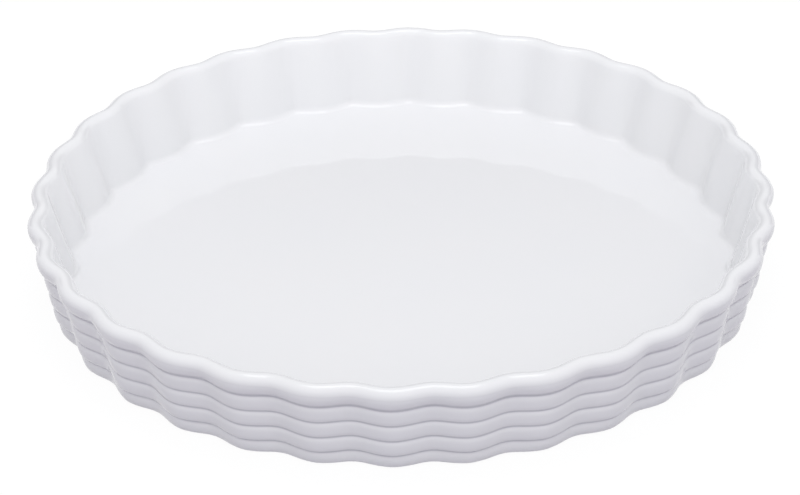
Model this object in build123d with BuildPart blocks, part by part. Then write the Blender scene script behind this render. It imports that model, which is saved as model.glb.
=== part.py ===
from build123d import *
import math
import os

# A fluted quiche dish of glazed white ceramic, in millimetres.
# +Z is up, and the origin is on the table, under the middle of the dish.
# One lobe of the rim points along +X.
#
# The dish is pressed in one piece, so its pieces are the layers that it is made of: the
# fired body, the glaze coat that covers it down to the foot, and the glaze panel under
# the floor, which the bare foot ring cuts off from the rest.

# Overall sizes
rim_diameter = 280.0  # across two opposite lobes of the rim, over the glaze
dish_height = 35.0  # from the table to the top of the rim, over the glaze
glaze_thickness = 0.35

# Flutes: each is a round lobe and the narrower valley beside it
flute_count = 32
flute_depth = 2.6  # from the crest of a lobe in to the bottom of a valley
lobe_share = 0.73  # radius of a lobe seen from above, as a share of the flutes' pitch

# Rim: a bead that stands out over the wall
rim_overhang = 3.2  # from the groove under the rim out to the widest line of the bead
rim_band_height = 8.6  # from the groove under the rim to the top, over the glaze

# Outside wall: bands that bulge between thin grooves, and lean out towards the top
groove_count = 4
base_band_height = 6.0  # from the table to the lowest groove
band_bulge = 1.25
wall_draft = 8.9  # degrees

# Inside wall
wall_thickness = 2.5  # from the groove under the rim in to the inside, square to the axis
inner_draft = 13.3  # degrees, so the wall is thickest at the floor
cove_radius = 3.2  # where the inside wall turns into the floor

# Floor and foot: the dish stands on a bare ring, and its floor lies a little above the table
floor_thickness = 3.0
floor_lap = 1.0  # how far in the floor's edge lies from the cove and the foot
foot_height = 1.0  # from the table to the underside of the floor
foot_inset = 0.9  # from the line of the wall in to the outer edge of the foot
foot_width = 4.5
foot_edge_radius = 1.5
foot_edge_turn = 60.0  # degrees that the rounded edge turns before the lowest band begins
bare_height = 0.8  # how far up from the table the glaze stops

# The flute line is the outline of the body in the groove under the rim.
# Every other outline of the dish is this one moved in or out.
half_pitch = math.pi / flute_count
crest_radius = rim_diameter / 2 - glaze_thickness - rim_overhang
valley_bottom = crest_radius - flute_depth
lobe_radius = lobe_share * crest_radius * 2 * half_pitch
lobe_centre = crest_radius - lobe_radius

# A lobe and a valley are arcs that touch, so their centres lie as far apart as the sum
# of their radii. With the valley's centre on its own ray, that gives the valley's radius.
centre_run = lobe_centre * math.cos(half_pitch)
valley_radius = (
    lobe_radius**2 - lobe_centre**2 - valley_bottom**2 + 2 * centre_run * valley_bottom
) / (2 * (valley_bottom - centre_run - lobe_radius))
valley_centre = valley_bottom + valley_radius
touch_slope = math.atan2(
    valley_centre * math.sin(half_pitch),
    valley_centre * math.cos(half_pitch) - lobe_centre,
)

# Heights in the wall
top_groove = dish_height - rim_band_height
band_height = (top_groove - base_band_height) / (groove_count - 1)
bead_radius = (rim_overhang + wall_thickness) / 2
bead_height = dish_height - glaze_thickness - bead_radius
floor_top = foot_height + floor_thickness

# Distances out from the flute line, so inwards is negative
corner_out = -wall_thickness - (bead_height - floor_top) * math.tan(math.radians(inner_draft))
foot_outer = -top_groove * math.tan(math.radians(wall_draft)) - foot_inset
foot_inner = foot_outer - foot_width
floor_edge = min(corner_out - cove_radius, foot_inner) - floor_lap


def around(radius, turn):
    """The point at this radius, turned in radians about the axis of the dish."""
    return (radius * math.cos(turn), radius * math.sin(turn))


def fluted_line(shift):
    """The closed flute line, moved outwards by shift: a lobe and a valley for each flute."""
    touch_x = lobe_centre + (lobe_radius + shift) * math.cos(touch_slope)
    touch_y = (lobe_radius + shift) * math.sin(touch_slope)
    touch_radius = math.hypot(touch_x, touch_y)
    touch_turn = math.atan2(touch_y, touch_x)
    with BuildLine() as line:
        for flute in range(flute_count):
            crest_turn = 2 * half_pitch * flute
            valley_turn = crest_turn + half_pitch
            next_turn = valley_turn + half_pitch
            lobe_start = around(touch_radius, crest_turn - touch_turn)
            lobe_end = around(touch_radius, crest_turn + touch_turn)
            next_start = around(touch_radius, next_turn - touch_turn)
            ThreePointArc(lobe_start, around(crest_radius + shift, crest_turn), lobe_end)
            ThreePointArc(lobe_end, around(valley_bottom + shift, valley_turn), next_start)
    return line.wires()[0]


def groove_point(height):
    """The bottom of a groove at this height, on the leaning line of the wall."""
    return ((height - top_groove) * math.tan(math.radians(wall_draft)), height)


def wall_outline():
    """The wall of the body cut across: distance out from the flute line, and height."""
    with BuildLine() as outline:
        # Foot, flat on the table, and its rounded outer edge
        Line((foot_inner, 0), (foot_outer, 0))
        edge = JernArc((foot_outer, 0), (1, 0), foot_edge_radius, foot_edge_turn)
        TangentArc(edge @ 1, groove_point(base_band_height), tangent=edge % 1)
        # Bulging bands between the grooves
        for band in range(groove_count - 1):
            low = groove_point(base_band_height + band * band_height)
            high = groove_point(base_band_height + (band + 1) * band_height)
            middle = groove_point((low[1] + high[1]) / 2)
            ThreePointArc(low, (middle[0] + band_bulge, middle[1]), high)
        # Rim: its underside swells out of the top groove, and the bead rounds it over
        TangentArc((rim_overhang, bead_height), (0, top_groove), tangent=(0, -1))
        bead = JernArc((rim_overhang, bead_height), (0, 1), bead_radius, 180 - inner_draft)
        # Inside wall, the cove at its bottom, and the edge of the floor
        floor_end = (floor_edge, floor_top)
        FilletPolyline(bead @ 1, (corner_out, floor_top), floor_end, radius=cove_radius)
        Polyline(floor_end, (floor_edge, foot_height), (foot_inner, foot_height), (foot_inner, 0))
    return outline.line


flute_line = fluted_line(0)
flute_start = flute_line % 0

# The wall is drawn on the plane that stands square across the start of the flute line
wall_plane = Plane(
    origin=flute_line @ 0,
    x_dir=flute_start.cross(Vector(0, 0, 1)),
    z_dir=-flute_start,
)

# Body: the wall carried once round the flute line, and the floor inside it
with BuildPart() as ceramic_body:
    with BuildSketch(wall_plane) as wall:
        with BuildLine():
            add(wall_outline())
        make_face()
    sweep(path=flute_line)
    with BuildSketch(Plane.XY.offset(foot_height)) as floor:
        with BuildLine():
            add(fluted_line(floor_edge))
        make_face()
    extrude(amount=floor_thickness)

# Glaze coat: a skin round the wall, from the bare foot up the outside, over the rim and
# down the inside, and a thin disc over the floor
with BuildPart() as glaze_coat:
    with BuildSketch(wall_plane) as coat:
        with BuildLine():
            add(wall_outline())
        make_face()
        offset(amount=glaze_thickness)
        with BuildLine():
            add(wall_outline())
        make_face(mode=Mode.SUBTRACT)
        # Cut away what lies past the floor's edge, under the floor, and on the bare foot
        with Locations((floor_edge, floor_top)):
            Rectangle(dish_height, dish_height, align=(Align.MAX, Align.MIN), mode=Mode.SUBTRACT)
        with Locations((foot_outer, floor_top)):
            Rectangle(dish_height, dish_height, align=(Align.MAX, Align.MAX), mode=Mode.SUBTRACT)
        with Locations((foot_outer, bare_height)):
            Rectangle(dish_height, dish_height, align=(Align.MIN, Align.MAX), mode=Mode.SUBTRACT)
    sweep(path=flute_line)
    with BuildSketch(Plane.XY.offset(floor_top)) as floor_coat:
        with BuildLine():
            add(fluted_line(floor_edge))
        make_face()
    extrude(amount=glaze_thickness)

# Underside glaze: a panel that fills the ring of the foot, against the body's underside
with BuildPart() as underside_glaze:
    with BuildSketch(Plane.XY.offset(foot_height)) as panel:
        with BuildLine():
            add(fluted_line(foot_inner))
        make_face()
    extrude(amount=-glaze_thickness)

ceramic_body.part.label = "ceramic_body"
glaze_coat.part.label = "glaze_coat"
underside_glaze.part.label = "underside_glaze"

os.makedirs("parts", exist_ok=True)
export_step(ceramic_body.part, "parts/ceramic_body.step")
export_step(glaze_coat.part, "parts/glaze_coat.step")
export_step(underside_glaze.part, "parts/underside_glaze.step")
print(f"In the groove under the rim a lobe's radius is {lobe_radius:.2f} mm")
print(f"and a valley's is {valley_radius:.2f} mm")
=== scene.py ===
# %% [markdown]
# A fluted quiche dish in white glazed ceramic.
# Such a dish is one lump of clay: a shallow round tray whose wall is pressed into 32
# flutes, with a round bead for a rim and thin grooves that run round the outside. It is
# dipped in glaze, and only the ring that it stands on is wiped bare.
# The solids loaded here fix its size and place. Every piece built below stands for one of
# them: the glaze coat, the fired body under it, and the panel of glaze beneath the floor.

# %% Load the solids
import math
import bpy
import numpy as np
from mathutils import Matrix, Vector


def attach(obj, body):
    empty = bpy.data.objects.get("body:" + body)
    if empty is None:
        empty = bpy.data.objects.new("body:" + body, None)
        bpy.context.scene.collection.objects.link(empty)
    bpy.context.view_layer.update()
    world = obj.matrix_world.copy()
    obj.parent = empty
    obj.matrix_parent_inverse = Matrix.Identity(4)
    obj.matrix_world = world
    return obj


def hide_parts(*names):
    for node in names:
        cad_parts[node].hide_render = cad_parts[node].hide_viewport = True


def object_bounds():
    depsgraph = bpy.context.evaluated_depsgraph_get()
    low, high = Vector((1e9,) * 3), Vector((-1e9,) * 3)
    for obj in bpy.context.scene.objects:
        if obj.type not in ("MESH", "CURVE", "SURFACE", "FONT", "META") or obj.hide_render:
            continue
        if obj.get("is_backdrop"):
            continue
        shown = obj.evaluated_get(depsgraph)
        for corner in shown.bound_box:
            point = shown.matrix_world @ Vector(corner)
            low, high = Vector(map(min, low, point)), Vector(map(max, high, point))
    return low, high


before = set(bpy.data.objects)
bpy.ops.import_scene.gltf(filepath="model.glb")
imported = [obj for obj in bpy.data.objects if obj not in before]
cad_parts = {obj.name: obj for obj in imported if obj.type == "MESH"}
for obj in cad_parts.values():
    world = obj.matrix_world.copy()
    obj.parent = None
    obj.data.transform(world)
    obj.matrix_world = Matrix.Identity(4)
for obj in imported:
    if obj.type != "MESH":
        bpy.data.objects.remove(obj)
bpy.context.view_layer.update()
MM = 0.001

# %% [markdown]
# The flute line.
# Seen from above, the dish's outline is a circle with a wave on it. The waves aren't pure
# sines: the lobes are broad and the valleys between them narrow, and they sharpen a
# little towards the foot, where the clay was pressed hardest into the mould.
# Three cosines give that shape. The first sets how deep the flutes are, the second
# broadens the lobes, and the third narrows the valleys.

# %% The flute line
FLUTES = 32
LINE_RADIUS = 135.25 * MM  # mean radius of the body's outline in the groove under the rim
COLUMNS = FLUTES * 16

# height, then the three cosines of the wave, all in mm
OUTSIDE_WAVE = np.array([
    (0.0, 1.25, -0.14, 0.06),
    (6.0, 1.48, -0.13, 0.055),
    (12.8, 1.48, -0.10, 0.04),
    (19.6, 1.44, -0.07, 0.02),
    (26.4, 1.44, -0.06, 0.0),
    (31.8, 1.14, -0.06, 0.0),
    (35.0, 1.14, -0.06, 0.0),
])
INSIDE_WAVE = np.array([
    (4.0, 1.60, -0.02, 0.0),
    (31.8, 1.14, -0.06, 0.0),
    (35.0, 1.14, -0.06, 0.0),
])
turn = np.linspace(0, 2 * math.pi, COLUMNS, endpoint=False)


def wave_at(height, table):
    """The three cosines of the wave at this height."""
    return np.array([np.interp(height / MM, table[:, 0], table[:, n]) for n in (1, 2, 3)]) * MM


def outline(out, wave, share=1.0):
    """The outline moved outwards square to itself, then drawn in to a share of its size."""
    phase = FLUTES * turn
    radius = LINE_RADIUS + sum(a * np.cos(n * phase) for n, a in zip((1, 2, 3), wave))
    slope = -sum(a * n * FLUTES * np.sin(n * phase) for n, a in zip((1, 2, 3), wave))
    outward = np.stack([radius, -slope]) / np.hypot(radius, slope)
    across = share * (radius + out * outward[0])
    along = share * (out * outward[1])
    x = across * np.cos(turn) - along * np.sin(turn)
    y = across * np.sin(turn) + along * np.cos(turn)
    return np.stack([x, y], 1)


print("flutes", FLUTES, "pitch in mm", round(2 * math.pi * LINE_RADIUS / FLUTES / MM, 2))

# %% [markdown]
# The section of the clay.
# Cut the wall across and it reads from the foot upwards: a rounded edge, three nearly
# flat bands that turn in quickly to the sharp little grooves between them, a rim that
# swells out of the top groove into a bead, and on the inside a plain wall that leans
# more than the outside does, so the clay is thickest where it turns through a cove into
# the floor.
# Each stretch is an arc, a line or one flattened curve, as a mould maker would draw it,
# so a few sizes give it.

# %% The section of the clay
GLAZE = 0.35 * MM
RIM_TOP = 35.0 * MM
GROOVES = np.array([6.0, 12.8, 19.6, 26.4]) * MM
WALL_LEAN = math.tan(math.radians(8.9))
INSIDE_LEAN = math.radians(13.3)
BAND_BULGE = 1.2 * MM
BAND_FLATNESS = 5.0  # 2 is a plain arc, and more is flatter with quicker edges
LOWEST_BULGE = 0.56 * MM
RIM_OUT = 3.2 * MM
BEAD = 2.85 * MM
BEAD_HEIGHT = RIM_TOP - GLAZE - BEAD
BEAD_OUT = RIM_OUT - BEAD
COVE = 3.2 * MM
FLOOR_TOP = 4.0 * MM
FLOOR_UNDER = 1.0 * MM
FOOT_OUTER = -5.03 * MM
FOOT_INNER = -9.53 * MM
FOOT_EDGE = 1.5 * MM
FOOT_EDGE_TURN = 60  # degrees that the rounded edge turns before the lowest band begins
FLOOR_EDGE = -12.2 * MM


def groove_out(height):
    """How far out the bottom of a groove lies at this height, on the leaning wall."""
    return (height - GROOVES[-1]) * WALL_LEAN


def arc(centre, radius, start, end, count):
    """Points on an arc, with its angles in degrees from straight out."""
    angle = np.radians(np.linspace(start, end, count))
    return np.stack([centre[0] + radius * np.cos(angle), centre[1] + radius * np.sin(angle)], 1)


def arc_through(low, high, bulge, count):
    """An arc between two points that stands out from their chord by this bulge."""
    low, high = np.array(low), np.array(high)
    chord = np.linalg.norm(high - low)
    radius = (chord**2 / 4 + bulge**2) / (2 * bulge)
    along = (high - low) / chord
    square = np.array([along[1], -along[0]])
    centre = (low + high) / 2 + square * (bulge - radius)
    half = math.degrees(math.asin(chord / 2 / radius))
    middle = math.degrees(math.atan2(square[1], square[0]))
    return arc(centre, radius, middle - half, middle + half, count)


def band_through(low, high, count):
    """A band between two grooves: nearly flat, and turning in quickly at both edges."""
    low, high = np.array(low), np.array(high)
    along = (high - low) / np.linalg.norm(high - low)
    square = np.array([along[1], -along[0]])
    step = np.sin(np.linspace(-math.pi / 2, math.pi / 2, count))[:, None]
    chord = (low + high) / 2 + (high - low) / 2 * step
    return chord + square * BAND_BULGE * (1 - abs(step) ** BAND_FLATNESS)


def clay_outside(per_arc):
    """The clay's section from the table up to the widest line of the rim."""
    grooves = [(groove_out(height), height) for height in GROOVES]
    edge = arc((FOOT_OUTER, FOOT_EDGE), FOOT_EDGE, -90, FOOT_EDGE_TURN - 90, per_arc)
    points = [edge, arc_through(edge[-1], grooves[0], LOWEST_BULGE, per_arc)[1:]]
    for low, high in zip(grooves[:-1], grooves[1:]):
        points.append(band_through(low, high, per_arc)[1:])
    rise = BEAD_HEIGHT - GROOVES[-1]
    swell = (rise**2 + RIM_OUT**2) / (2 * RIM_OUT)
    start = -math.degrees(math.asin(rise / swell))
    points.append(arc((RIM_OUT - swell, BEAD_HEIGHT), swell, start, 0, per_arc)[1:])
    return np.concatenate(points)


def inside_from_rim(skin, per_arc):
    """The section from the rim's widest line over the top to the floor, this far off the clay."""
    lean = math.degrees(INSIDE_LEAN)
    bead = arc((BEAD_OUT, BEAD_HEIGHT), BEAD + skin, 0, 180 - lean, 2 * per_arc)
    cove, floor = COVE - skin, FLOOR_TOP + skin
    foot_of_wall = bead[-1][0] - (bead[-1][1] - floor) * math.tan(INSIDE_LEAN)
    centre = (foot_of_wall - cove * math.tan(math.radians(45 - lean / 2)), floor + cove)
    turned = arc(centre, cove, -lean, -90, per_arc)
    steps = np.linspace(0, 1, per_arc)[1:-1, None]
    return np.concatenate([bead, bead[-1] + (turned[0] - bead[-1]) * steps, turned])


print("points in the clay's section:", len(clay_outside(12)) + len(inside_from_rim(0, 12)))

# %% [markdown]
# The glaze over the grooves.
# Glaze is a glass that melts and flows a little in the kiln. It lies evenly on the bands
# but gathers in the grooves and rounds their sharp bottoms, which is why they read as
# soft grey lines rather than cuts; painted shade in the glaze's colour there darkens them further.
# Rolling a ball of the glaze's thickness along the clay gives the even coat, and a short
# blur of that line gives the gathering.

# %% The glaze over the grooves
POOLING = 0.5 * MM  # how far the melted glaze evens itself out
BARE_FOOT = 0.8 * MM  # how far up from the table the glaze stops
SAMPLE = 0.02 * MM  # step of the fine line that the ball and the blur work on
BALL_SAMPLES = 17  # on each side, just under the ball's radius
BLUR_SAMPLES = 80
ROWS_PER_BAND = 14
CROWDING = 0.13  # draws the rows of a band towards its two grooves


def glazed_outside(bottom, count_per_band):
    """The glaze's section from its lower edge up to the rim's widest line, with its depth."""
    clay = clay_outside(400)
    height = np.arange(-2 * MM, BEAD_HEIGHT + 3 * MM, SAMPLE)
    clay_out = np.interp(height, clay[:, 1], clay[:, 0])
    above = height > BEAD_HEIGHT
    bead_rise = height[above] - BEAD_HEIGHT
    clay_out[above] = BEAD_OUT + np.sqrt(np.maximum(BEAD**2 - bead_rise**2, 0))
    reach = range(-BALL_SAMPLES, BALL_SAMPLES + 1)
    ball = np.sqrt(GLAZE**2 - (np.array(reach) * SAMPLE) ** 2)
    coat = np.max([np.roll(clay_out, -n) + b for n, b in zip(reach, ball)], axis=0)
    blur = np.exp(-0.5 * (np.arange(-BLUR_SAMPLES, BLUR_SAMPLES + 1) * SAMPLE / POOLING) ** 2)
    soft = np.convolve(coat, blur / blur.sum(), "same")
    stops = np.concatenate([[bottom], GROOVES, [BEAD_HEIGHT]])
    share = np.arange(1, count_per_band + 1) / count_per_band
    crowded = share - CROWDING * np.sin(2 * math.pi * share)
    rows = [bottom]
    for low, high in zip(stops[:-1], stops[1:]):
        rows.extend(low + (high - low) * crowded)
    rows = np.array(rows)
    out = np.interp(rows, height, soft)
    depth = out - np.interp(rows, height, clay_out)
    return np.stack([out, rows], 1), depth


coat_line, coat_depth = glazed_outside(BARE_FOOT, ROWS_PER_BAND)
least, most = coat_depth.min() / MM, coat_depth.max() / MM
print("least and most glaze in mm:", round(least, 2), round(most, 2))

# %% [markdown]
# From a section to a piece.
# A potter's profile is turned on a wheel. This one is carried round the flute line
# instead: every point of the section becomes a ring of points, and neighbouring rings are
# joined by faces. A section that starts and ends on the dish's axis closes the piece.
# The floor's edge lies too far in to be the flute line moved square to itself, because
# the lobes would fold over, so from some way in the outline only shrinks.

# %% Carry a section round the flute line
FOLD_LIMIT = -7.0 * MM
# the floor's rings, as shares of the size of its edge
FLOOR_SHARES = [1.0, 0.985, 0.95, 0.9, 0.8, 0.65, 0.5, 0.35, 0.2, 0.08, 0.02]


def fluted_piece(name, rows):
    """A closed piece from rows of (distance out, height, wave, share of its size, glaze depth)."""
    points, depths = [], []
    for out, height, wave, share, depth in rows:
        ring = outline(out, wave, share)
        points.append(np.column_stack([ring, np.full(COLUMNS, height)]))
        depths.append(np.full(COLUMNS, depth))
    first, last = (0, 0, rows[0][1]), (0, 0, rows[-1][1])
    places = np.concatenate([*points, [first, last]])
    count = len(rows) * COLUMNS
    here = np.arange(COLUMNS)
    beside = (here + 1) % COLUMNS
    faces = [(count, b, a) for a, b in zip(here, beside)]
    for row in range(len(rows) - 1):
        low, high = row * COLUMNS, (row + 1) * COLUMNS
        faces.extend(zip(low + here, low + beside, high + beside, high + here))
    end = (len(rows) - 1) * COLUMNS
    faces.extend((count + 1, a, b) for a, b in zip(end + here, end + beside))
    mesh = bpy.data.meshes.new(name)
    mesh.from_pydata(places.tolist(), [], [tuple(int(v) for v in face) for face in faces])
    mesh.polygons.foreach_set("use_smooth", [True] * len(mesh.polygons))
    attribute = mesh.attributes.new("glaze_depth", "FLOAT", "POINT")
    all_depths = np.concatenate([*depths, [rows[0][4], rows[-1][4]]]).astype(np.float32)
    attribute.data.foreach_set("value", all_depths)
    mesh.update()
    piece = bpy.data.objects.new(name, mesh)
    bpy.context.scene.collection.objects.link(piece)
    print(name, "triangles:", sum(len(face.vertices) - 2 for face in mesh.polygons))
    return piece


def drawn_in(out):
    """The part of a move inwards that keeps the outline whole, and how much it then shrinks."""
    kept = max(out, FOLD_LIMIT)
    return kept, 1 + (out - kept) / (LINE_RADIUS + kept)


def floor_rows(height, depth, shares):
    """Rings of the floor, the outline of its edge drawn in towards the middle."""
    kept, edge_share = drawn_in(FLOOR_EDGE)
    wave = wave_at(height, INSIDE_WAVE)
    return [(kept, height, wave, edge_share * share, depth) for share in shares]


def inside_rows(line, depth):
    """Rings of the inside wall along this line of the section."""
    rows = []
    for out, height in line:
        kept, share = drawn_in(out)
        rows.append((kept, height, wave_at(height, INSIDE_WAVE), share, depth))
    return rows


def outside_rows(line, depths):
    """Rings of the outside wall along this line of the section."""
    return [
        (out, height, wave_at(height, OUTSIDE_WAVE), 1.0, depth)
        for (out, height), depth in zip(line, depths)
    ]


print("the outline shrinks at the floor's edge to", round(drawn_in(FLOOR_EDGE)[1], 3))

# %% [markdown]
# The glaze coat.
# It is one unbroken skin: floor, cove, inside wall, rim, outside wall, down to a rolled
# edge just above the bare foot. There it turns and comes back along the clay, so the
# piece is a real shell with a thickness and not a painted surface.

# %% The glaze coat
LIP = 0.16 * MM  # radius of the rolled edge
LIP_DROP = 0.02 * MM
LIP_ANGLES = (0, -35, -70, -105, -140)  # degrees round the rolled edge, from straight out


def glaze_section():
    """The whole skin, from the middle of the floor out, round the lip and back."""
    rows = floor_rows(FLOOR_TOP + GLAZE, GLAZE, FLOOR_SHARES[::-1])
    rows += inside_rows(inside_from_rim(GLAZE, 14)[::-1], GLAZE)
    rows += outside_rows(coat_line[::-1][1:], coat_depth[::-1][1:])
    edge_out, edge_height = coat_line[0]
    for angle in LIP_ANGLES:
        out = edge_out - LIP + LIP * math.cos(math.radians(angle))
        height = edge_height + LIP * math.sin(math.radians(angle)) - LIP_DROP
        rows += outside_rows([(out, height)], [GLAZE])
    clay = clay_outside(5)
    clay = clay[clay[:, 1] > edge_height]
    rows += outside_rows(clay, [GLAZE] * len(clay))
    rows += inside_rows(inside_from_rim(0, 4)[1:], GLAZE)
    rows += floor_rows(FLOOR_TOP, GLAZE, (1.0, 0.5, 0.02))
    return rows


glaze_coat = fluted_piece("glaze_coat_dressed", glaze_section())

# %% [markdown]
# The fired body.
# Nearly all of it is hidden by the glaze. What shows is the ring that the dish stands on,
# wiped clean before firing so that it can't weld itself to the kiln shelf. Its outer
# edge is rounded by the mould and its inner edge is softened by the sponge.

# %% The fired body
SPONGED = 0.3 * MM


def body_section():
    """The whole body, from the middle of the floor out over the rim and back under the foot."""
    rows = floor_rows(FLOOR_TOP, 0, FLOOR_SHARES[::-2])
    rows += inside_rows(inside_from_rim(0, 6)[::-1], 0)
    clay = clay_outside(9)[::-1]
    rows += outside_rows(clay[1:], [0] * (len(clay) - 1))
    # Under the foot ring, round its sponged inner edge and up to the recess
    foot_wave = wave_at(0, OUTSIDE_WAVE)
    ring = [(FOOT_OUTER - 0.3 * (FOOT_OUTER - FOOT_INNER), 0), (FOOT_INNER + SPONGED * 2, 0)]
    ring += [tuple(p) for p in arc((FOOT_INNER + SPONGED, SPONGED), SPONGED, -90, -180, 5)]
    ring += [(FOOT_INNER, FLOOR_UNDER)]
    rows += [(out, height, foot_wave, 1.0, 0) for out, height in ring]
    rows += [(FOOT_INNER, FLOOR_UNDER, foot_wave, share, 0) for share in (0.98, 0.6, 0.02)]
    return rows


fired_body = fluted_piece("fired_body_dressed", body_section())

# %% [markdown]
# The glaze under the floor.
# The dip leaves glaze in the shallow recess inside the foot ring too. The wiped ring
# cuts it off from the rest, and where it meets the ring it climbs a little, as any
# liquid does at the edge of its vessel.

# %% The glaze under the floor
CLIMB = 0.2 * MM
# distance in from the ring in mm, and the share of the climb that is left there
CLIMB_LINE = ((0, 1), (0.12, 0.94), (0.35, 0.6), (0.7, 0.25), (1.2, 0.06), (2.0, 0))


def underside_section():
    """The panel, from its middle out along the clay and back along its open face."""
    foot_wave = wave_at(0, OUTSIDE_WAVE)
    under = FLOOR_UNDER - GLAZE
    shares = (0.02, 0.5, 0.98, 1.0)
    rows = [(FOOT_INNER, FLOOR_UNDER, foot_wave, share, GLAZE) for share in shares]
    for step, left in CLIMB_LINE:
        rows.append((FOOT_INNER - step * MM, under - CLIMB * left, foot_wave, 1.0, GLAZE))
    flat_edge = rows[-1][0]
    rows += [(flat_edge, under, foot_wave, share, GLAZE) for share in FLOOR_SHARES[1:]]
    return rows


underside_glaze = fluted_piece("underside_glaze_dressed", underside_section())

# %% [markdown]
# Each piece takes its solid's place.
# The three pieces belong to one rigid thing, so they all ride on the same body. Each
# hides the solid that it stands for.

# %% Let each piece stand for its solid
for piece, node, slot in (
    (glaze_coat, "glaze_coat", "white_glaze"),
    (fired_body, "ceramic_body", "fired_body"),
    (underside_glaze, "underside_glaze", "white_glaze"),
):
    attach(piece, "root")
    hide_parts(node)
    print(piece.name, "stands for", node)

# %% [markdown]
# Colours and nodes.
# Colours are written as the hex values a screen shows, and one function turns them into
# the light values that the shader works in. One more adds a node with its settings and
# its inputs, so that a material reads as a short list. An input takes a value or what
# another node gives out.

# %% Colour and node helpers


def linear(hex_colour):
    """A hex colour as linear red, green, blue and full alpha."""
    parts = [int(hex_colour[n:n + 2], 16) / 255 for n in (1, 3, 5)]
    parts = [c / 12.92 if c <= 0.04045 else ((c + 0.055) / 1.055) ** 2.4 for c in parts]
    return (*parts, 1.0)


def add_node(tree, kind, settings=None, inputs=None):
    """A node of this kind with its settings, and a value or a link for inputs by name or number."""
    node = tree.nodes.new(kind)
    for name, value in (settings or {}).items():
        setattr(node, name, value)
    for name, value in (inputs or {}).items():
        if isinstance(value, bpy.types.NodeSocket):
            tree.links.new(value, node.inputs[name])
        else:
            node.inputs[name].default_value = value
    return node


def new_material(name):
    """An empty material and its tree of nodes."""
    material = bpy.data.materials.new(name)
    material.use_nodes = True
    material.node_tree.nodes.clear()
    return material, material.node_tree


COLOUR_A, COLOUR_B, COLOUR_RESULT = 6, 7, 2  # sockets of a mix node set to colours
print("half grey in linear light:", round(linear("#808080")[0], 3))

# %% [markdown]
# White tin glaze.
# A dipped and fired glaze is glass over a white ground: the colour comes from below and
# the gloss from the top, so it shows both a soft white and sharp reflections. Glass has
# an IOR near 1.5. The dip leaves a faint orange peel a few millimetres across and
# microns deep. The thick glaze in the grooves is a touch cooler and greyer, and its colour
# there is darkened further as painted shade in the grooves.

# %% White glaze
CLOUD = 40 * MM
ORANGE_PEEL = 3.2 * MM
FINE_RIPPLE = 0.9 * MM
GLASS_IOR = 1.5
EVEN_COAT, DEEP_POOL = GLAZE * 1.05, GLAZE * 2.2  # the depths between which the glaze greys


def white_glaze():
    """Glossy white, greyer where the glaze is deep: partly the glaze's own tint, partly painted
    shade in the grooves.
    """
    material, tree = new_material("white_glaze_fired")
    place = add_node(tree, "ShaderNodeTexCoord").outputs["Object"]
    depth = add_node(tree, "ShaderNodeAttribute", {"attribute_name": "glaze_depth"})
    deep_glaze_tint_and_shade_share = add_node(
        tree,
        "ShaderNodeMapRange",
        {},
        {"From Min": EVEN_COAT, "From Max": DEEP_POOL, "Value": depth.outputs["Fac"]},
    )
    cloud = add_node(
        tree, "ShaderNodeTexNoise", {}, {"Scale": 1 / CLOUD, "Detail": 3.0, "Vector": place}
    )
    ground = add_node(
        tree,
        "ShaderNodeMix",
        {"data_type": "RGBA"},
        {"Factor": cloud.outputs["Fac"], COLOUR_A: linear("#F6F6F7"), COLOUR_B: linear("#F4F5F7")},
    )
    # greyer where the glaze lies deep: partly the thick glaze's own cooler tint, partly painted
    # shade in the grooves
    glaze_tint_and_groove_shade = add_node(
        tree,
        "ShaderNodeMix",
        {"data_type": "RGBA"},
        {
            "Factor": deep_glaze_tint_and_shade_share.outputs["Result"],
            COLOUR_A: ground.outputs[COLOUR_RESULT],
            COLOUR_B: linear("#CFCED4"),
        },
    )
    peel = add_node(
        tree, "ShaderNodeTexNoise", {}, {"Scale": 1 / ORANGE_PEEL, "Detail": 1.0, "Vector": place}
    )
    ripple = add_node(
        tree, "ShaderNodeTexNoise", {}, {"Scale": 1 / FINE_RIPPLE, "Detail": 2.0, "Vector": place}
    )
    shine = add_node(
        tree,
        "ShaderNodeMapRange",
        {},
        {"To Min": 0.03, "To Max": 0.06, "Value": ripple.outputs["Fac"]},
    )
    waves = add_node(
        tree,
        "ShaderNodeBump",
        {},
        {"Strength": 0.12, "Distance": 0.02 * MM, "Height": peel.outputs["Fac"]},
    )
    surface = add_node(
        tree,
        "ShaderNodeBsdfPrincipled",
        {},
        {
            "IOR": GLASS_IOR,
            "Base Color": glaze_tint_and_groove_shade.outputs[COLOUR_RESULT],
            "Roughness": shine.outputs["Result"],
            "Normal": waves.outputs["Normal"],
        },
    )
    add_node(tree, "ShaderNodeOutputMaterial", {}, {"Surface": surface.outputs["BSDF"]})
    return material


glaze_material = white_glaze()
glaze_coat.data.materials.append(glaze_material)
underside_glaze.data.materials.append(glaze_material)
print("nodes in the glaze:", len(glaze_material.node_tree.nodes))

# %% [markdown]
# Bare fired clay.
# The wiped foot is the white clay itself, fired hard but not glassy: matt, a little
# warmer than the glaze, and as grainy as a fine stone. The grain is under a tenth of a
# millimetre, so it is drawn coarser here to show at all, and a few scuffs from the
# table darken it.

# %% Bare fired clay
CLAY_GRAIN = 0.35 * MM
SCUFF = 9 * MM
CLAY_IOR = 1.5


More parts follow.
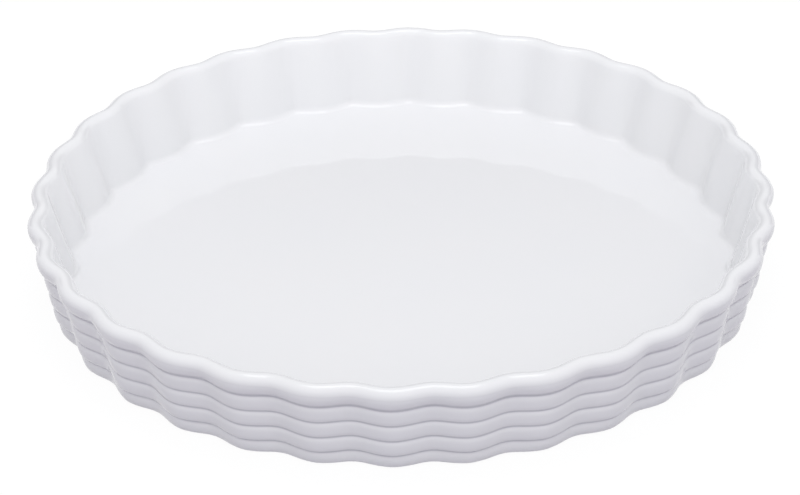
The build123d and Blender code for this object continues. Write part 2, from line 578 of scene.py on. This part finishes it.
def bare_clay():
    """Matt and grainy, with darker scuffs."""
    material, tree = new_material("bare_fired_clay")
    place = add_node(tree, "ShaderNodeTexCoord").outputs["Object"]
    grain = add_node(
        tree, "ShaderNodeTexNoise", {}, {"Scale": 1 / CLAY_GRAIN, "Detail": 3.0, "Vector": place}
    )
    scuffs = add_node(
        tree, "ShaderNodeTexNoise", {}, {"Scale": 1 / SCUFF, "Detail": 4.0, "Vector": place}
    )
    worn = add_node(
        tree,
        "ShaderNodeMapRange",
        {},
        {"From Min": 0.52, "From Max": 0.7, "Value": scuffs.outputs["Fac"]},
    )
    colour = add_node(
        tree,
        "ShaderNodeMix",
        {"data_type": "RGBA"},
        {
            "Factor": worn.outputs["Result"],
            COLOUR_A: linear("#EAE6DC"),
            COLOUR_B: linear("#D6D0C4"),
        },
    )
    rough = add_node(
        tree,
        "ShaderNodeMapRange",
        {},
        {"To Min": 0.7, "To Max": 0.88, "Value": grain.outputs["Fac"]},
    )
    bump = add_node(
        tree,
        "ShaderNodeBump",
        {},
        {"Strength": 0.5, "Distance": 0.05 * MM, "Height": grain.outputs["Fac"]},
    )
    surface = add_node(
        tree,
        "ShaderNodeBsdfPrincipled",
        {},
        {
            "IOR": CLAY_IOR,
            "Base Color": colour.outputs[COLOUR_RESULT],
            "Roughness": rough.outputs["Result"],
            "Normal": bump.outputs["Normal"],
        },
    )
    add_node(tree, "ShaderNodeOutputMaterial", {}, {"Surface": surface.outputs["BSDF"]})
    return material


clay_material = bare_clay()
fired_body.data.materials.append(clay_material)
print("nodes in the clay:", len(clay_material.node_tree.nodes))

# %% [markdown]
# The table.
# The dish stands on a plain pale table that runs out of sight. The camera and the
# mirrored rays see it as white, while the light that it throws back up at the dish is
# that of grey paper with a touch of violet, which keeps the shade under the rim and gives
# the outside wall its cool tint. A little of its own shading is left in for the camera,
# so the dish still casts a soft shadow.

# %% The table
TABLE_RADIUS = 4.0
TABLE_GLOW = 1.02  # a hair over white, so that what is left of the shading doesn't grey it
SHADE_KEPT = 0.08
bpy.ops.mesh.primitive_circle_add(
    vertices=128, radius=TABLE_RADIUS, fill_type="NGON", location=(0, 0, 0)
)
table = bpy.context.object
table.name = "table"
table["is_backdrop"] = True


def seen_directly(tree):
    """1 for rays from the camera and for mirrored and refracted ones, 0 for the rest."""
    rays = add_node(tree, "ShaderNodeLightPath").outputs
    seen = rays["Is Camera Ray"]
    for other in (rays["Is Glossy Ray"], rays["Is Transmission Ray"]):
        larger = add_node(tree, "ShaderNodeMath", {"operation": "MAXIMUM"}, {0: seen, 1: other})
        seen = larger.outputs[0]
    return seen


def table_material(paper_colour):
    """White where it is seen, and paper of this colour for the light that it throws back."""
    material, tree = new_material("pale_table")
    seen = seen_directly(tree)
    grey = add_node(tree, "ShaderNodeBsdfDiffuse", {}, {"Color": linear(paper_colour)})
    white = add_node(tree, "ShaderNodeEmission", {}, {"Strength": TABLE_GLOW})
    paper = add_node(tree, "ShaderNodeBsdfDiffuse", {}, {"Color": linear("#FFFFFF")})
    shown = add_node(
        tree,
        "ShaderNodeMixShader",
        {},
        {"Fac": SHADE_KEPT, 1: white.outputs[0], 2: paper.outputs[0]},
    )
    mix = add_node(
        tree, "ShaderNodeMixShader", {}, {"Fac": seen, 1: grey.outputs[0], 2: shown.outputs[0]}
    )
    add_node(tree, "ShaderNodeOutputMaterial", {}, {"Surface": mix.outputs[0]})
    return material


table.data.materials.append(table_material("#A19CAB"))
print("table", 2 * TABLE_RADIUS, "m across")

# %% [markdown]
# The light.
# A white dish needs little direct light. One square softbox hangs almost straight above:
# it puts the bright line along the bead of the rim, lights the floor, and leaves the
# outside wall in soft shade.

# %% The light
SOFTBOX_AZIMUTH, SOFTBOX_ELEVATION = math.radians(95), math.radians(85)
SOFTBOX_DISTANCE = 1.5
SOFTBOX_SIDE = 0.74
SOFTBOX_RADIANCE = 2.05  # brightness of its face, which its size turns into the lamp's power
TENT_WHITE = "#FDFDFF"  # the softbox and the tent are lined with the same cool white cloth

light = bpy.data.lights.new("softbox_above", "AREA")
light.shape = "RECTANGLE"
light.size = light.size_y = SOFTBOX_SIDE
light.energy = SOFTBOX_RADIANCE * 4 * SOFTBOX_SIDE * SOFTBOX_SIDE
light.color = linear(TENT_WHITE)[:3]
softbox = bpy.data.objects.new("softbox_above", light)
flat = math.cos(SOFTBOX_ELEVATION)
softbox.location = (
    SOFTBOX_DISTANCE * flat * math.cos(SOFTBOX_AZIMUTH),
    SOFTBOX_DISTANCE * flat * math.sin(SOFTBOX_AZIMUTH),
    SOFTBOX_DISTANCE * math.sin(SOFTBOX_ELEVATION),
)
softbox.rotation_euler = (-Vector(softbox.location)).to_track_quat("-Z", "Y").to_euler()
bpy.context.scene.collection.objects.link(softbox)
print("softbox at", [round(v, 2) for v in softbox.location], "power", round(light.energy, 2))

# %% [markdown]
# The grey card.
# The shiny floor mirrors the wall behind it and, in front of that, what lies past the rim.
# A white tent there would be as bright as the wall and the mirrored wall would vanish, so
# a photographer hangs grey paper behind the dish. It thins out upwards, which makes the
# floor grow brighter towards the front. Only mirrored rays see it here.

# %% The grey card
CARD_WIDTH, CARD_HEIGHT = 3.2, 0.88
CARD_BEHIND, CARD_MIDDLE = 1.4, 0.59
PAPER_WHOLE, PAPER_GONE = 0.5, 0.97  # shares of the card's height
bpy.ops.mesh.primitive_plane_add(size=1.0)
card = bpy.context.object
card.name = "grey_card"
card.scale = (CARD_WIDTH, CARD_HEIGHT, 1.0)
card.rotation_euler = (math.radians(90), 0, 0)
card.location = (0, CARD_BEHIND, CARD_MIDDLE)
card.visible_camera = False
card.visible_diffuse = False
card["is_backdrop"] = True


def graded_card(grey):
    """Grey paper that thins out to nothing over its upper half."""
    material, tree = new_material("graded_card")
    place = add_node(tree, "ShaderNodeTexCoord").outputs["Generated"]
    height = add_node(tree, "ShaderNodeSeparateXYZ", {}, {"Vector": place}).outputs["Y"]
    thin = add_node(
        tree,
        "ShaderNodeMapRange",
        {"interpolation_type": "SMOOTHSTEP"},
        {"From Min": PAPER_WHOLE, "From Max": PAPER_GONE, "Value": height},
    )
    paper = add_node(tree, "ShaderNodeBsdfDiffuse", {}, {"Color": linear(grey)})
    clear = add_node(tree, "ShaderNodeBsdfTransparent")
    mix = add_node(
        tree,
        "ShaderNodeMixShader",
        {},
        {"Fac": thin.outputs["Result"], 1: paper.outputs[0], 2: clear.outputs[0]},
    )
    add_node(tree, "ShaderNodeOutputMaterial", {}, {"Surface": mix.outputs[0]})
    return material


card.data.materials.append(graded_card("#77777C"))
card_low, card_high = CARD_MIDDLE - CARD_HEIGHT / 2, CARD_MIDDLE + CARD_HEIGHT / 2
print("card from", round(card_low, 2), "to", round(card_high, 2), "m above the table")

# %% [markdown]
# The surroundings.
# The rest of the light is the white tent round the table. It glows evenly, a little more
# near the table, and most in front and a touch to the right, which fills the shade on the
# outside wall and lights the inside of the far wall. The camera and the mirrored rays see
# plain white.

# %% The surroundings
EVEN_GLOW = 0.43
GLOW_NEAR_TABLE, NEAR_TABLE_FADE = 0.15, 4.0
GLOW_IN_FRONT_HIGH, GLOW_IN_FRONT_LOW = 1.35, 0.37
GLOW_BEHIND = 0.34
TO_THE_RIGHT, TO_THE_FRONT = 0.12, -0.99  # which way the brighter side lies
SEEN_WHITE = 1.02  # makes up for the cloth's tint, so that it is seen as plain white


def surroundings():
    """White for the camera and for reflections, and the tent's uneven glow for everything else."""
    world = bpy.data.worlds.new("surroundings")
    bpy.context.scene.world = world
    world.use_nodes = True
    tree = world.node_tree
    tree.nodes.clear()
    direction = add_node(tree, "ShaderNodeTexCoord").outputs["Generated"]
    axes = add_node(tree, "ShaderNodeSeparateXYZ", {}, {"Vector": direction}).outputs
    steps = {"x": axes["X"], "y": axes["Y"], "z": axes["Z"]}
    # Each step's name, its operation, and what goes in: numbers, or what an earlier step gave
    for name, operation, values in (
        ("height", "MAXIMUM", ("z", 0.0)),
        ("depth", "SUBTRACT", (1.0, "height")),
        ("near_table", "POWER", ("depth", NEAR_TABLE_FADE)),
        ("ahead", "MULTIPLY", ("y", TO_THE_FRONT)),
        ("turned", "MULTIPLY_ADD", ("x", TO_THE_RIGHT, "ahead")),
        ("front", "MAXIMUM", ("turned", 0.0)),
        ("behind", "MAXIMUM", ("y", 0.0)),
        ("front_glow", "MULTIPLY_ADD", ("height", GLOW_IN_FRONT_HIGH, GLOW_IN_FRONT_LOW)),
        ("glow", "MULTIPLY_ADD", ("near_table", GLOW_NEAR_TABLE, EVEN_GLOW)),
        ("glow", "MULTIPLY_ADD", ("front", "front_glow", "glow")),
        ("glow", "MULTIPLY_ADD", ("behind", GLOW_BEHIND, "glow")),
    ):
        inputs = {n: steps.get(value, value) for n, value in enumerate(values)}
        steps[name] = add_node(tree, "ShaderNodeMath", {"operation": operation}, inputs).outputs[0]
    strength = add_node(
        tree,
        "ShaderNodeMix",
        {},
        {"Factor": seen_directly(tree), "A": steps["glow"], "B": SEEN_WHITE},
    )
    light_given = add_node(
        tree,
        "ShaderNodeBackground",
        {},
        {"Color": linear(TENT_WHITE), "Strength": strength.outputs["Result"]},
    )
    add_node(tree, "ShaderNodeOutputWorld", {}, {"Surface": light_given.outputs[0]})
    return tree


tent = surroundings()
print("nodes in the tent:", len(tent.nodes))

# %% [markdown]
# The camera.
# The picture is taken from a little under a metre away and 31 degrees above the table,
# with a long lens, so the far rim is hardly smaller than the near one. The camera is
# turned and tipped by a degree or so to place the dish in the frame as in the picture.

# %% The camera
DISTANCE = 897.7 * MM
ELEVATION = 0.5426  # radians, as are the angles below
AZIMUTH = math.radians(-90) + 0.03364
PITCH, YAW, ROLL = 0.0070, 0.00087, 0.01892
FOCAL_SHARE = 2337.2 / 800  # focal length as a share of the frame's width
SENSOR_WIDTH = 36.0

flat = math.cos(ELEVATION)
level = Vector((flat * math.cos(AZIMUTH), flat * math.sin(AZIMUTH), math.sin(ELEVATION)))
forward = -level
right = Vector((-math.sin(AZIMUTH), math.cos(AZIMUTH), 0))
up = right.cross(forward)
forward, up = (Matrix.Rotation(PITCH, 3, right) @ v for v in (forward, up))
forward, right = (Matrix.Rotation(YAW, 3, up) @ v for v in (forward, right))
up, right = (Matrix.Rotation(ROLL, 3, forward) @ v for v in (up, right))
lens = bpy.data.cameras.new("camera")
lens.sensor_width = SENSOR_WIDTH
lens.lens = SENSOR_WIDTH * FOCAL_SHARE
camera = bpy.data.objects.new("camera", lens)
pose = Matrix((right, up, -forward)).transposed().to_4x4()
pose.translation = level * DISTANCE
camera.matrix_world = pose
bpy.context.scene.collection.objects.link(camera)
bpy.context.scene.camera = camera
bpy.context.scene.view_settings.view_transform = "Standard"
camera_place = [round(v, 3) for v in camera.matrix_world.translation]
print("camera at", camera_place, "lens", round(lens.lens, 1))

# %% [markdown]
# The sizes.
# The box that what is shown fills is written down in millimetres.

# %% Write down the shown size
shown_low, shown_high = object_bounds()
shown_size = [round((high - low) / MM, 2) for low, high in zip(shown_low, shown_high)]
print("shown size in mm:", shown_size)
